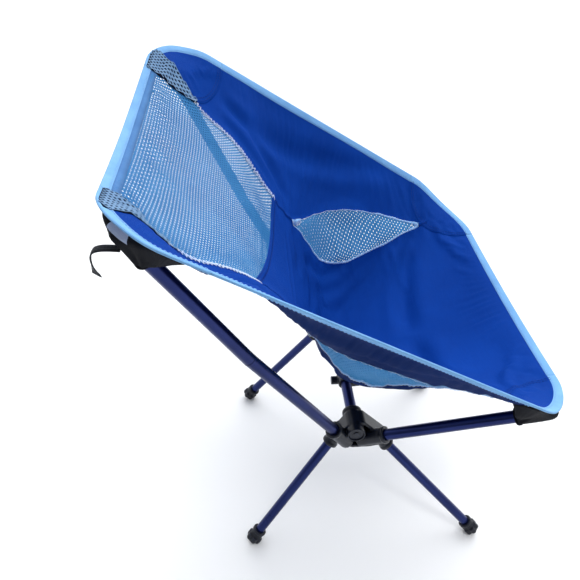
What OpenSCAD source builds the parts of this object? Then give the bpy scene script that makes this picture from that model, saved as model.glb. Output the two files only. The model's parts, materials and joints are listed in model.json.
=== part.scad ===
// Ultralight backpacking chair: two moulded hubs on a cross tube carry eight
// shock-corded aluminium tubes, and a four-cornered fabric sling hangs from the
// tips of the four upper poles. Millimetres. +Z is up, the sitter faces -Y, and
// the sitter's left side is +X. The origin is on the ground, under the middle
// of the chair's outer box.

/* [Sling] */
// Half width of the sling between its front corners
front_corner_x = 264; // [254:1:272]
// How far the front corners stand forward of the cross tube's middle
front_corner_y = 226; // [220:1:232]
// Height of the front corners
front_corner_z = 363; // [358:1:370]
// Half width of the sling between its back corners
back_corner_x = 286; // [280:1:292]
// How far the back corners stand behind the cross tube's middle
back_corner_y = 266; // [262:1:272]
// Height of the back corners
back_corner_z = 661; // [655:1:666]
// Radius of the rounded front corners
front_corner_r = 88; // [80:1:92]
// Radius of the rounded back corners
back_corner_r = 87; // [70:1:90]
// Thickness of the fabric
fabric_t = 2; // [1.5:0.1:2.4]
// Width of the edge binding tape
binding_w = 13; // [11:1:16]
// Gap between two fabric panels where they are sewn together
seam_gap = 0.8; // [0.5:0.1:1.2]

/* [Tubes] */
// Diameter of the back poles, front poles and cross tube
pole_d = 16; // [15.6:0.1:16.4]
// Diameter of the legs
leg_d = 14; // [13.6:0.1:14.4]
// Wall thickness of every tube
tube_wall = 1; // [0.8:0.1:1.2]
// Height of the cross tube's centre line
cross_z = 223; // [222:0.5:224]
// Radial clearance between a tube and the bore that holds it
fit_gap = 0.05; // [0.03:0.01:0.08]
// Diameter of the shock cord
cord_d = 3; // [2:0.5:4]

/* [Hubs] */
// Wall thickness round each socket bore
socket_wall = 3; // [2.4:0.1:3.2]
// How far a pole sits below its reference point in the hub
pole_seat = 30; // [28:1:31]
// How far a socket for a pole stands out from its reference point
pole_mouth = 12; // [10:1:16]
// How far a socket for a leg stands out from its reference point
leg_mouth = 20; // [18:1:24]

/* [Feet and pockets] */
// Radius of the core of a rubber foot
foot_r = 9.6; // [9.2:0.1:10]
// Number of lobes round a foot
foot_lobes = 6; // [5:1:7]
// Depth of a pole pocket from the pole's tip to the pocket's mouth
pocket_depth = 38; // [34:1:44]
// Wall thickness of a pole pocket
pocket_wall = 2; // [1.6:0.1:2]
// Length of the webbing pull tab's straight part
tab_reach = 22; // [18:1:26]
// Length of the webbing pull tab's hanging part
tab_drop = 26; // [20:1:30]

/* [Hidden] */
$fn = 48;

pole_r = pole_d / 2;
leg_r = leg_d / 2;

// Shift that puts the origin under the middle of the outer box
mid_y = 23.21;

// Corners of the sling, on the left side
front_corner = [front_corner_x, -front_corner_y, front_corner_z];
back_corner = [back_corner_x, back_corner_y, back_corner_z];

// Profile of the sling along the chair's middle plane, front edge to top edge, as [y, z]
profile = [[-239, 338], [-71, 269], [28, 262], [78, 365], [156, 505], [285, 616]];
// Power of the sling's sag from its side edges to its middle
sag_power = 1.9;

// Reference points of the four sockets of the left hub, where each tube crosses the hub
back_socket = [135, 31.6, cross_z + 0.6];
front_socket = [135, -28.6, cross_z - 11.1];
rear_leg_socket = [115, 27.6, cross_z - 23.4];
front_leg_socket = [115, -34.7, cross_z - 35.5];

// Far ends of the left side's tubes
back_tip = back_corner + [-48.5, -12, -40];
front_tip = front_corner + [-46, 18, -23];
foot_lift = 9.6;
rear_foot_at = [153, 153, foot_lift];
front_foot_at = [161, -190, foot_lift];

// The back pole bends slightly at its ferrule, where its two sections meet
pole_bend = [0, 6, -3.3];
back_middle = (back_socket + back_tip) / 2 + pole_bend;

cross_y = 5;
cross_half = 131;
collar_end = 97;
collar_r = 12.6;
hub_outer_x = 142;
recess_r = 10.8;
recess_depth = 4;

ferrule_len = 60;
ferrule_r = pole_r - tube_wall - fit_gap;
tip_head_r = pole_r - 1;
tip_stem_len = 18;
tip_neck = 14;
cord_r = cord_d / 2;

leg_seat_rear = 12;
leg_seat_front = 15;
foot_sleeve = 17;

patch_front_r = 96;
patch_back_r = 106;
edge_len = norm(back_corner - front_corner);

// Colours
tube_colour = [0.05, 0.09, 0.30];
plastic_colour = [0.03, 0.04, 0.07];
fabric_colour = [0.03, 0.12, 0.55];
mesh_colour = [0.42, 0.62, 0.90];
binding_colour = [0.50, 0.72, 0.93];

// ---- Helpers ----

function unit(v) = v / norm(v);

// Point at distance s from a towards b
function point_on(a, b, s) = a + unit(b - a) * s;

// Puts its children, drawn along +Z from the origin, on the line from a towards b
module along(a, b) {
    d = b - a;
    translate(a)
        rotate([0, acos(d[2] / norm(d)), atan2(d[1], d[0])])
            children();
}

// Cylinder on the line from a towards b, between the distances s0 and s1 from a
module rod(a, b, s0, s1, r) {
    along(a, b)
        translate([0, 0, s0])
            cylinder(h = s1 - s0, r = r);
}

// Tube on the line from a towards b
module tube(a, b, s0, s1, r) {
    difference() {
        rod(a, b, s0, s1, r);
        rod(a, b, s0 - 1, s1 + 1, r - tube_wall);
    }
}

// Draws the children on the left side, or mirrored on the right side, in the part's frame
module side(name) {
    translate([0, -mid_y, 0])
        if (name == "right")
            mirror([1, 0, 0]) children();
        else
            children();
}

// ---- Sling surface ----

// Catmull-Rom curve through the profile points, t from 0 to 1
function profile_at(t) =
    let (
        n = len(profile) - 1,
        i = min(floor(t * n), n - 1),
        f = t * n - i,
        p1 = profile[i],
        p2 = profile[i + 1],
        p0 = i == 0 ? 2 * p1 - p2 : profile[i - 1],
        p3 = i == n - 1 ? 2 * p2 - p1 : profile[i + 2]
    )
    0.5 * (2 * p1 + (p2 - p0) * f + (2 * p0 - 5 * p1 + 4 * p2 - p3) * f * f
        + (3 * p1 - p0 - 3 * p2 + p3) * f * f * f);

// Half width of the sharp-cornered outline at v, from 0 at the front edge to 1 at the top edge
function half_width(v) = front_corner_x + (back_corner_x - front_corner_x) * v;

// How much a rounded corner of radius r takes off at the distance d from its end edge
function corner_inset(d, r) = d >= r ? 0 : r - sqrt(max(0, r * r - (r - d) * (r - d)));

// Half width of the rounded outline at v
function rounded_width(v) = half_width(v)
    - corner_inset(v * edge_len, front_corner_r)
    - corner_inset((1 - v) * edge_len, back_corner_r);

// Seam between the seat and the side panel, as [v, half width]; between hip_v0 and hip_v1 it
// splits into a lower and an upper branch, and the hip mesh fills the lens between them
hip_v0 = 0.125;
hip_v1 = 0.60;
// Where the back mesh ends and the seat begins
mesh_v0 = 0.71;
hip_lower = [
    [0, 238], [hip_v0, 198], [0.22, 169], [0.33, 146], [0.46, 131], [hip_v1, 129], [0.66, 128], [1, 128]];
hip_upper = [
    [0, 238], [hip_v0, 198], [0.2, 200], [0.24, 199], [0.3, 192], [0.36, 183], [0.42, 172],
    [0.48, 157], [0.54, 142], [hip_v1, 129], [0.66, 128], [1, 128]];
// Half width of the back mesh: narrow in the small of the back, wide at the shoulders
mesh_side = [
    [0, 128], [0.66, 128], [0.71, 131], [0.75, 145], [0.78, 158], [0.81, 169], [0.84, 179],
    [0.87, 189], [0.9, 199], [0.93, 208], [0.96, 219], [1, 232]];

// How far the seams lie above or below a smooth sag: a ridge along the hip mesh's upper edge,
// where the taut side panel ends, and a valley along the back mesh
ridge_height = [
    [0, 0], [0.09, 0], [0.2, 12], [0.24, 19], [0.3, 33], [0.36, 43], [0.42, 45], [0.48, 39],
    [0.54, 23], [hip_v1, 5], [0.64, 0], [0.7, -2], [0.75, -4], [0.78, -11], [0.81, -16],
    [0.84, -20], [0.87, -22], [0.9, -17], [0.92, -10], [0.94, -3], [0.955, 0], [1, 0]];

// Extra height of the sling, from nothing on the seat to its full value at the seam, and back
// to nothing at the side edge
function ridge(x, v) =
    let (
        back = v > 0.64,
        low = back ? 0 : lookup(v, hip_lower),
        top = back ? lookup(v, mesh_side) : lookup(v, hip_upper),
        rise = max(0, min(1, (abs(x) - low) / max(top - low, 12))),
        fall = max(0, min(1, (half_width(v) - abs(x)) / (half_width(v) - top)))
    )
    lookup(v, ridge_height) * (abs(x) < top ? rise * rise * (3 - 2 * rise) : fall);

// Point of the sling's middle surface at sideways distance x and lengthways fraction v
function sling(x, v) =
    let (
        a = min(1, abs(x) / half_width(v)),
        c = profile_at(v),
        e = front_corner + (back_corner - front_corner) * v
    )
    [x, c[0] + (e[1] - c[0]) * a * a, c[1] + (e[2] - c[1]) * pow(a, sag_power) + ridge(x, v)];

// Upward unit normal of the sling's surface
function sling_normal(x, v) =
    let (
        h = 0.004,
        dv = sling(x, min(1, v + h)) - sling(x, max(0, v - h)),
        dx = sling(x + 1, v) - sling(x - 1, v)
    )
    unit(cross(dx, dv));

// Flat index of grid point (i, j) in a grid with m + 1 columns
function at(i, j, m) = i * (m + 1) + j;

// Closed fabric slab on the sling, where row i lies at vs[i] and runs sideways from inner[i] to
// outer[i] in m steps
module panel(vs, inner, outer, m, t) {
    n = len(vs) - 1;
    mid = [for (i = [0:n], j = [0:m]) [inner[i] + (outer[i] - inner[i]) * j / m, vs[i]]];
    count = len(mid);
    upper = [for (p = mid) sling(p[0], p[1]) + sling_normal(p[0], p[1]) * t / 2];
    lower = [for (p = mid) sling(p[0], p[1]) - sling_normal(p[0], p[1]) * t / 2];
    cells = [for (i = [0:n - 1], j = [0:m - 1])
        [at(i, j, m), at(i, j + 1, m), at(i + 1, j + 1, m), at(i + 1, j, m)]];
    rim = concat(
        [for (j = [0:m - 1]) [at(0, j, m), at(0, j + 1, m)]],
        [for (i = [0:n - 1]) [at(i, m, m), at(i + 1, m, m)]],
        [for (j = [m:-1:1]) [at(n, j, m), at(n, j - 1, m)]],
        [for (i = [n:-1:1]) [at(i, 0, m), at(i - 1, 0, m)]]);
    polyhedron(
        points = concat(upper, lower),
        faces = concat(
            [for (c = cells) [c[0], c[2], c[1]]],
            [for (c = cells) [c[0], c[3], c[2]]],
            [for (c = cells) [c[0] + count, c[1] + count, c[2] + count]],
            [for (c = cells) [c[0] + count, c[2] + count, c[3] + count]],
            [for (e = rim) [e[0], e[1], e[1] + count]],
            [for (e = rim) [e[0], e[1] + count, e[0] + count]]),
        convexity = 6);
}

// Fractions v of n + 1 rows from v0 to v1
function rows(v0, v1, n) = [for (i = [0:n]) v0 + (v1 - v0) * i / n];

// Distance in from the side edge that a corner piece of radius r reaches at distance d from its end
function patch_reach(d, r) = d >= r ? 0 : sqrt(r * r - d * d);

// Sideways limit of the panels at v, inside the binding and the corner pieces
function panel_limit(v) =
    let (
        df = v * edge_len,
        db = (1 - v) * edge_len,
        reach = max(patch_reach(df, patch_front_r), patch_reach(db, patch_back_r))
    )
    half_width(v) - max(binding_w, reach) - 2 * seam_gap;

// Rows beside a front corner piece, between the corner pieces and beside a back corner piece
function front_rows(a0) = [for (a = [a0:10:80]) patch_front_r * sin(a) / edge_len];
mid_rows = rows(0.171, 0.811, 24);
function back_rows(a1) = [for (a = [80:-10:a1]) 1 - patch_back_r * sin(a) / edge_len];

// Rows of the seams that run lengthways; the pieces on both sides of a seam share them
side_rows = concat(front_rows(50), mid_rows, back_rows(30));

// Lengthways fraction that the binding covers at the front and top edges
end_v = binding_w / edge_len;

// ---- Hub ----

// Barrel of a socket, with a raised ring at its mouth
module socket(a, b, seat, mouth, r) {
    rim_len = 5;
    rim_extra = 1.4;
    rod(a, b, -seat - socket_wall, mouth, r + socket_wall);
    rod(a, b, mouth - rim_len, mouth, r + socket_wall + rim_extra);
}

// Outline of radius r round a convex polygon whose corners run anticlockwise
function rounded(corners, r) =
    let (n = len(corners))
    [for (i = [0:n - 1])
        let (
            p = corners[(i + n - 1) % n],
            q = corners[i],
            next = corners[(i + 1) % n],
            a0 = atan2(q[1] - p[1], q[0] - p[0]) - 90,
            turn = (atan2(next[1] - q[1], next[0] - q[0]) - 90 - a0 + 720) % 360,
            steps = ceil(turn / 12)
        )
        for (k = [0:steps]) q + r * [cos(a0 + turn * k / steps), sin(a0 + turn * k / steps)]];

// Kite-shaped slab between the sockets and the cross tube, with rounded corners of radius r
module hub_kite(x0, x1, r) {
    corners = [[10, 226], [-4, 228], [-36, 194], [-17, 190.5], [6, 191], [17, 199], [20, 209]];
    translate([x0, 0, 0])
        rotate([90, 0, 90])
            linear_extrude(x1 - x0)
                polygon(rounded(corners, r));
}

// Plate of the hub: its outer face is hollow, with a rim all round
module hub_plate() {
    inner_x = 106;
    outer_x = 130;
    floor_x = 115;
    rim_r = 8;
    hollow_r = 3.5;
    difference() {
        hub_kite(inner_x, outer_x, rim_r);
        hub_kite(floor_x, outer_x + 1, hollow_r);
    }
}

module hub() {
    collar_rim = 1.6;
    collar_rim_len = 5;
    clear = 1;
    color(plastic_colour)
        difference() {
            union() {
                hub_plate();
                socket(back_socket, back_middle, pole_seat, pole_mouth, pole_r);
                socket(front_socket, front_tip, pole_seat, pole_mouth, pole_r);
                socket(rear_leg_socket, rear_foot_at, leg_seat_rear, leg_mouth, leg_r);
                socket(front_leg_socket, front_foot_at, leg_seat_front, leg_mouth, leg_r);
                translate([collar_end, cross_y, cross_z])
                    rotate([0, 90, 0]) {
                        cylinder(h = hub_outer_x - collar_end, r = collar_r);
                        cylinder(h = collar_rim_len, r = collar_r + collar_rim);
                    }
            }
            rod(back_socket, back_middle, -pole_seat, pole_mouth + clear, pole_r + fit_gap);
            rod(front_socket, front_tip, -pole_seat, pole_mouth + clear, pole_r + fit_gap);
            rod(rear_leg_socket, rear_foot_at, -leg_seat_rear, leg_mouth + clear, leg_r + fit_gap);
            rod(front_leg_socket, front_foot_at, -leg_seat_front, leg_mouth + clear, leg_r + fit_gap);
            translate([collar_end - clear, cross_y, cross_z])
                rotate([0, 90, 0])
                    cylinder(h = hub_outer_x - collar_end + 2 * clear, r = pole_r + fit_gap);
            translate([hub_outer_x - recess_depth, cross_y, cross_z])
                rotate([0, 90, 0])
                    cylinder(h = recess_depth + clear, r = recess_r);
        }
}

// ---- Cross tube ----

module cross_tube() {
    color(tube_colour)
        side("left")
            tube([-cross_half, cross_y, cross_z], [cross_half, cross_y, cross_z],
                0, 2 * cross_half, pole_r);
}

// Flanged plastic end caps that keep the hubs on the cross tube
module cross_tube_caps() {
    plug_len = 12;
    flange_at = hub_outer_x - recess_depth - cross_half + 0.2;
    flange_t = 1.5;
    boss_r = 4;
    color(plastic_colour)
        for (name = ["left", "right"])
            side(name)
                translate([cross_half, cross_y, cross_z])
                    rotate([0, 90, 0]) {
                        translate([0, 0, -plug_len])
                            cylinder(h = plug_len, r = pole_r - tube_wall - fit_gap);
                        cylinder(h = flange_at, r = pole_r - 0.5);
                        translate([0, 0, flange_at])
                            cylinder(h = flange_t, r = recess_r - 0.6);
                        translate([0, 0, flange_at + flange_t])
                            cylinder(h = 1, r = boss_r);
                    }
}

// Moulded fitting round the middle of the cross tube, with a long front arm and a short rear arm
fitting_x0 = -42;
fitting_x1 = 2;
fitting_r = 11.4;
rivet_x = -34;
rivet_r = 2.5;

module centre_fitting() {
    arm_x = -28;
    arm_w = 14;
    arm_r = 130;
    arm_angle = 26;
    arm_t = 12;
    rear_arm_end = 26;
    rear_arm_r = 6.4;
    color(plastic_colour)
        side("left")
            difference() {
                union() {
                    translate([fitting_x0, cross_y, cross_z])
                        rotate([0, 90, 0])
                            cylinder(h = fitting_x1 - fitting_x0, r = fitting_r);
                    // Front arm: a slightly curved bar that bows downwards and ends square
                    translate([arm_x + arm_w / 2, cross_y - 6, cross_z - 2 + arm_r - arm_t / 2])
                        rotate([0, -90, 0])
                            rotate([0, 0, 180])
                                rotate_extrude(angle = arm_angle, $fn = 96)
                                    translate([arm_r - arm_t / 2, 0])
                                        square([arm_t, arm_w]);
                    // Rear arm: a short round stub
                    translate([arm_x, cross_y, cross_z - 5])
                        rotate([-90, 0, 0])
                            cylinder(h = rear_arm_end - cross_y, r = rear_arm_r);
                }
                translate([fitting_x0 - 1, cross_y, cross_z])
                    rotate([0, 90, 0])
                        cylinder(h = fitting_x1 - fitting_x0 + 2, r = pole_r + fit_gap);
                translate([rivet_x, cross_y, cross_z])
                    cylinder(h = fitting_r + 1, r = rivet_r + fit_gap);
            }
}

// Rivet that holds the fitting on the cross tube
module centre_rivet() {
    head_r = 4;
    color("silver")
        side("left")
            translate([rivet_x, cross_y, cross_z]) {
                translate([0, 0, pole_r + fit_gap])
                    cylinder(h = fitting_r - pole_r, r = rivet_r);
                translate([0, 0, fitting_r + fit_gap])
                    cylinder(h = 1, r = head_r);
            }
}

// ---- Poles ----

module back_pole_lower() {
    color(tube_colour)
        tube(back_socket, back_middle, -pole_seat + 0.5, norm(back_middle - back_socket) - 0.5, pole_r);
}

module back_pole_upper() {
    color(tube_colour)
        tube(back_middle, back_tip, 0.5, norm(back_tip - back_middle) - tip_neck, pole_r);
}

// Sleeve inside the joint of the two back pole sections; it is bent with the pole
module back_pole_ferrule() {
    half = ferrule_len / 2;
    lower_r = ferrule_r;
    upper_r = ferrule_r - 0.15;
    color("silver")
        difference() {
            union() {
                rod(back_middle, back_socket, 0, half, lower_r);
                rod(back_middle, back_tip, -1, half, upper_r);
            }
            rod(back_middle, back_socket, -2, half + 1, lower_r - tube_wall);
            rod(back_middle, back_tip, -2, half + 1, upper_r - tube_wall);
        }
}

module front_pole() {
    color(tube_colour)
        tube(front_socket, front_tip, -pole_seat + 0.5, norm(front_tip - front_socket) - tip_neck, pole_r);
}

// Domed plastic tip plugs of the back and front poles
module pole_tips() {
    stem_r = pole_r - tube_wall - fit_gap;
    color(plastic_colour)
        for (ends = [[back_middle, back_tip], [front_socket, front_tip]])
            along(ends[1], ends[0])
                rotate_extrude($fn = 96)
                    polygon(concat(
                        [for (t = [0:15:90]) [tip_head_r * sin(t), -tip_head_r * cos(t)]],
                        [[tip_head_r, tip_neck - fit_gap], [stem_r, tip_neck - fit_gap],
                         [stem_r, tip_neck + tip_stem_len], [0, tip_neck + tip_stem_len]]));
}

// Elastic cord on the line from a towards b: a knot from s0, then the plain cord up to s1
module cord(a, b, s0, s1) {
    knot_r = 3;
    knot_len = 5;
    along(a, b)
        rotate_extrude()
            polygon([[0, s0], [knot_r, s0], [knot_r, s0 + knot_len], [cord_r, s0 + knot_len + 1],
                [cord_r, s1], [0, s1]]);
}

// Elastic cords inside the poles, from a knot in the hub to the tip plugs
module pole_cords() {
    tip_space = tip_neck + tip_stem_len + 0.5;
    color("black") {
        cord(back_socket, back_middle, 2 - pole_seat, norm(back_middle - back_socket));
        translate(back_middle)
            sphere(r = cord_r + 0.4);
        rod(back_middle, back_tip, 0, norm(back_tip - back_middle) - tip_space, cord_r);
        cord(front_socket, front_tip, 2 - pole_seat, norm(front_tip - front_socket) - tip_space);
    }
}

// ---- Legs ----

module leg(a, foot, seat) {
    color(tube_colour)
        tube(a, foot, -seat + 0.3, norm(foot - a) - 1, leg_r);
}

// Elastic cord inside a leg, from a knot in the hub end to the foot
module leg_cord(a, foot, seat) {
    color("black")
        cord(a, foot, 2 - seat, norm(foot - a) - 4);
}

// Rubber foot: a sleeve over the leg's end and a lobed, flared end trimmed flat on the ground
module foot(a, foot) {
    lobe_r = 4.6;
    lobe_at = 7.6;
    lip_len = 4;
    color(plastic_colour)
        difference() {
            union() {
                rod(foot, a, 0, foot_sleeve, foot_r);
                rod(foot, a, foot_sleeve - lip_len, foot_sleeve, foot_r + 1);
                translate(foot)
                    sphere(r = foot_r + 0.8);
                along(foot, a)
                    for (k = [0:foot_lobes - 1])
                        rotate([0, 0, 360 * k / foot_lobes])
                            translate([lobe_at, 0, -2]) {
                                sphere(r = lobe_r);
                                cylinder(h = 7, r = lobe_r);
                            }
            }
            rod(foot, a, 1, foot_sleeve + 1, leg_r + fit_gap);
            translate([foot[0] - 40, foot[1] - 40, -40])
                cube([80, 80, 40]);
        }
}

module rear_leg() {
    leg(rear_leg_socket, rear_foot_at, leg_seat_rear);
}

module front_leg() {
    leg(front_leg_socket, front_foot_at, leg_seat_front);
}

module rear_leg_cord() {
    leg_cord(rear_leg_socket, rear_foot_at, leg_seat_rear);
}

module front_leg_cord() {
    leg_cord(front_leg_socket, front_foot_at, leg_seat_front);
}

module rear_foot() {
    foot(rear_leg_socket, rear_foot_at);
}

module front_foot() {
    foot(front_leg_socket, front_foot_at);
}

// ---- Sling pieces ----

function clip(x, v) = min(x, panel_limit(v));

module seat_panel() {
    top = mesh_v0 - 0.002;
    vs = concat([end_v + 0.002], front_rows(20), [for (v = mid_rows) if (v < top - 0.01) v], [top]);
    color(fabric_colour)
        panel(vs, [for (v = vs) seam_gap], [for (v = vs) clip(lookup(v, hip_lower), v)], 7, fabric_t);
}

module back_mesh() {
    upper = [for (v = mid_rows) if (v > mesh_v0 + 0.01) v];
    vs = concat([mesh_v0], upper, back_rows(20), [1 - end_v - 0.002]);
    color(mesh_colour)
        panel(vs, [for (v = vs) seam_gap], [for (v = vs) clip(lookup(v, mesh_side), v)], 7, fabric_t);
}

module side_panel() {
    inner = [for (v = side_rows) 2 * seam_gap + lookup(v, v < 0.66 ? hip_upper : mesh_side)];
    color(fabric_colour)
        panel(side_rows, inner, [for (v = side_rows) panel_limit(v)], 4, fabric_t);
}

module hip_mesh() {
    vs = [for (v = mid_rows) if (v < hip_v1 - 0.03) v];
    color(mesh_colour)
        panel(vs, [for (v = vs) lookup(v, hip_lower) + 2 * seam_gap],
            [for (v = vs) lookup(v, hip_upper) - seam_gap], 4, fabric_t);
}

// Folded tape round the sling's edge, outside the corner pieces
module edge_binding() {
    tape_t = fabric_t + 1.2;
    vs = concat([(patch_front_r + 1) / edge_len], mid_rows, [1 - (patch_back_r + 1) / edge_len]);
    front_limit = half_width(0) - patch_front_r - seam_gap;
    back_limit = half_width(1) - patch_back_r - seam_gap;
    color(binding_colour) {
        panel(vs, [for (v = vs) half_width(v) - binding_w], [for (v = vs) half_width(v)], 1, tape_t);
        panel([0, end_v], [seam_gap, seam_gap], [front_limit, front_limit], 8, tape_t);
        panel([1 - end_v, 1], [seam_gap, seam_gap], [back_limit, back_limit], 8, tape_t);
    }
}

// Reinforced quarter-round corner of the sling, with its length of binding
module corner_piece(vs, r, at_back) {
    color(fabric_colour)
        panel(vs,
            [for (v = vs) half_width(v) - patch_reach(edge_len * (at_back ? 1 - v : v), r)],
            [for (v = vs) rounded_width(v)], 5, fabric_t);
}

module back_corner_piece() {
    corner_piece(concat(back_rows(10), [1]), patch_back_r, true);
}

module front_corner_piece() {
    corner_piece(concat([0], front_rows(10)), patch_front_r, false);
}

// Pocket under a corner of the sling that caps a pole's tip: a turned shell with a domed end
module pocket(a, tip) {
    outer_r = pole_r + fit_gap + pocket_wall;
    hem_len = 6;
    hem_extra = 0.8;
    inner_dome = tip_head_r + 0.1;
    outer_dome = inner_dome + pocket_wall;
    dome_steps = [0:15:90];
    color(plastic_colour)
        along(tip, a)
            rotate_extrude($fn = 96)
                polygon(concat(
                    [for (t = dome_steps) [outer_dome * sin(t), -outer_dome * cos(t)]],
                    [[outer_dome, tip_neck - 2], [outer_r, tip_neck]],
                    [[outer_r, pocket_depth - hem_len], [outer_r + hem_extra, pocket_depth - hem_len],
                     [outer_r + hem_extra, pocket_depth], [pole_r + fit_gap, pocket_depth]],
                    [[pole_r + fit_gap, tip_neck - 0.1], [inner_dome, tip_neck - 0.1]],
                    [for (t = [90:-15:0]) [inner_dome * sin(t), -inner_dome * cos(t)]]));
}

module back_pocket() {
    pocket(back_middle, back_tip);
}

module front_pocket() {
    pocket(front_socket, front_tip);
}

// Webbing pull tab behind the back pocket: it reaches back, then hangs down
tab_w = 11;
tab_t = 1.5;
tab_root = [0, 10.8, -6.2];

module pull_tab() {
    root = point_on(back_tip, back_middle, 14) + tab_root;
    bend_r = 4;
    color(plastic_colour)
        translate([root[0] - tab_w / 2, root[1], root[2]])
            rotate([90, 0, 90]) {
                cylinder(h = tab_w, r = tab_t / 2);
                translate([0, -tab_t / 2, 0])
                    cube([tab_reach - bend_r, tab_t, tab_w]);
                translate([tab_reach - bend_r, -bend_r + tab_t / 2, 0])
                    rotate_extrude(angle = 90)
                        translate([bend_r - tab_t, 0])
                            square([tab_t, tab_w]);
                translate([tab_reach - tab_t, -tab_drop, 0])
                    cube([tab_t, tab_drop - bend_r + tab_t / 2, tab_w]);
            }
}

// ---- Nodes ----

side("left") hub();  // hub_left
side("right") hub();  // hub_right
cross_tube();
cross_tube_caps();
centre_fitting();
centre_rivet();
side("left") back_pole_lower();  // back_pole_lower_left
side("right") back_pole_lower();  // back_pole_lower_right
side("left") back_pole_upper();  // back_pole_upper_left
side("right") back_pole_upper();  // back_pole_upper_right
side("left") back_pole_ferrule();  // back_pole_ferrule_left
side("right") back_pole_ferrule();  // back_pole_ferrule_right
side("left") front_pole();  // front_pole_left
side("right") front_pole();  // front_pole_right
side("left") pole_tips();  // pole_tips_left
side("right") pole_tips();  // pole_tips_right
side("left") pole_cords();  // pole_cords_left
side("right") pole_cords();  // pole_cords_right
side("left") rear_leg();  // rear_leg_left
side("right") rear_leg();  // rear_leg_right
side("left") front_leg();  // front_leg_left
side("right") front_leg();  // front_leg_right
side("left") rear_leg_cord();  // rear_leg_cord_left
side("right") rear_leg_cord();  // rear_leg_cord_right
side("left") front_leg_cord();  // front_leg_cord_left
side("right") front_leg_cord();  // front_leg_cord_right
side("left") rear_foot();  // rear_foot_left
side("right") rear_foot();  // rear_foot_right
side("left") front_foot();  // front_foot_left
side("right") front_foot();  // front_foot_right
side("left") back_mesh();  // back_mesh_left
side("right") back_mesh();  // back_mesh_right
side("left") seat_panel();  // seat_panel_left
side("right") seat_panel();  // seat_panel_right
side("left") side_panel();  // side_panel_left
side("right") side_panel();  // side_panel_right
side("left") hip_mesh();  // hip_mesh_left
side("right") hip_mesh();  // hip_mesh_right
side("left") edge_binding();  // edge_binding_left
side("right") edge_binding();  // edge_binding_right
side("left") back_corner_piece();  // back_corner_left
side("right") back_corner_piece();  // back_corner_right
side("left") front_corner_piece();  // front_corner_left
side("right") front_corner_piece();  // front_corner_right
side("left") back_pocket();  // back_pocket_left
side("right") back_pocket();  // back_pocket_right
side("left") front_pocket();  // front_pocket_left
side("right") front_pocket();  // front_pocket_right
side("left") pull_tab();  // pull_tab_left
side("right") pull_tab();  // pull_tab_right
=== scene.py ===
"""Looks of the ultralight backpacking chair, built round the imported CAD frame.

Metres, +Z up, the sitter faces -Y and the sitter's left is +X. The sling is one surface given by
sling(x, v): x runs sideways and v lengthways, from 0 at the front edge to 1 at the top edge. Every
fabric piece lies on it.
"""

import json
import math

import bmesh
import bpy
import numpy as np
from mathutils import Matrix, Vector
from mathutils.bvhtree import BVHTree


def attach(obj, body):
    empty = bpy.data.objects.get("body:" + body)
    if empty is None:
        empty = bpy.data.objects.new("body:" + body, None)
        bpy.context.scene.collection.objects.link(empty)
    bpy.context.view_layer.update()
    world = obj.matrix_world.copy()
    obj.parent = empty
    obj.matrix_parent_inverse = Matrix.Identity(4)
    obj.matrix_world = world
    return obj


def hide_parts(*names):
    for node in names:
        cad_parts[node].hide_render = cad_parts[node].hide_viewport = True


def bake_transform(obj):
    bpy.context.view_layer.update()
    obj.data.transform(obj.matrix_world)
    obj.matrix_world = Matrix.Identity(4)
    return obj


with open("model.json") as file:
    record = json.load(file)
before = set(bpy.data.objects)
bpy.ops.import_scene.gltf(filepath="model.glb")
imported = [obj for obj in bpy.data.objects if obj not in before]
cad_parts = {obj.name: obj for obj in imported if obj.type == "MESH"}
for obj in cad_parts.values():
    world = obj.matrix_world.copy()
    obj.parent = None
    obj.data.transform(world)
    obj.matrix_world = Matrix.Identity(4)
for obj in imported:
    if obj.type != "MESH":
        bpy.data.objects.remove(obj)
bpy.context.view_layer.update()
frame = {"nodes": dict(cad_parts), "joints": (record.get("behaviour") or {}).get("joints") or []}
SCENE = bpy.context.scene
SIDES = {"left": 1, "right": -1}

# ---- Sizes of the sling, the same as in the CAD ----

MID_Y = 0.02321
FRONT = np.array([0.264, -0.226, 0.363])
BACK = np.array([0.286, 0.266, 0.661])
LENGTH = float(np.linalg.norm(BACK - FRONT))
FRONT_R = 0.088
BACK_R = 0.087
PATCH_FRONT = 0.096
PATCH_BACK = 0.106
# Middle line of the sling as [y, z]
PROFILE = np.array([[-0.239, 0.338], [-0.071, 0.269], [0.028, 0.262], [0.078, 0.365], [0.156, 0.505],
                    [0.285, 0.616]])
SAG_POWER = 1.9
HIP_V0 = 0.125
HIP_V1 = 0.60
HIP_END = 0.66
MESH_V0 = 0.71
# Half widths of the seams, and the ridge's height, as [v, mm]
HIP_LOWER = np.array([[0, 238], [HIP_V0, 198], [0.22, 169], [0.33, 146], [0.46, 131], [HIP_V1, 129],
                      [HIP_END, 128], [1, 128]])
HIP_UPPER = np.array([[0, 238], [HIP_V0, 198], [0.2, 200], [0.24, 199], [0.3, 192], [0.36, 183],
                      [0.42, 172], [0.48, 157], [0.54, 142], [HIP_V1, 129], [HIP_END, 128], [1, 128]])
MESH_SIDE = np.array([[0, 128], [HIP_END, 128], [0.71, 131], [0.75, 145], [0.78, 158], [0.81, 169],
                      [0.84, 179], [0.87, 189], [0.9, 199], [0.93, 208], [0.96, 219], [1, 232]])
# A ridge along the hip mesh's upper edge, where the taut side panel ends, and a valley along the back mesh
RIDGE = np.array([[0, 0], [0.09, 0], [0.2, 12], [0.24, 19], [0.3, 33], [0.36, 43], [0.42, 45],
                  [0.48, 39], [0.54, 23], [HIP_V1, 5], [0.64, 0], [0.7, -2], [0.75, -4], [0.78, -11],
                  [0.81, -16], [0.84, -20], [0.87, -22], [0.9, -17], [0.92, -10], [0.94, -3],
                  [0.955, 0], [1, 0]])
RIDGE_TURN = 0.64
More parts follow.
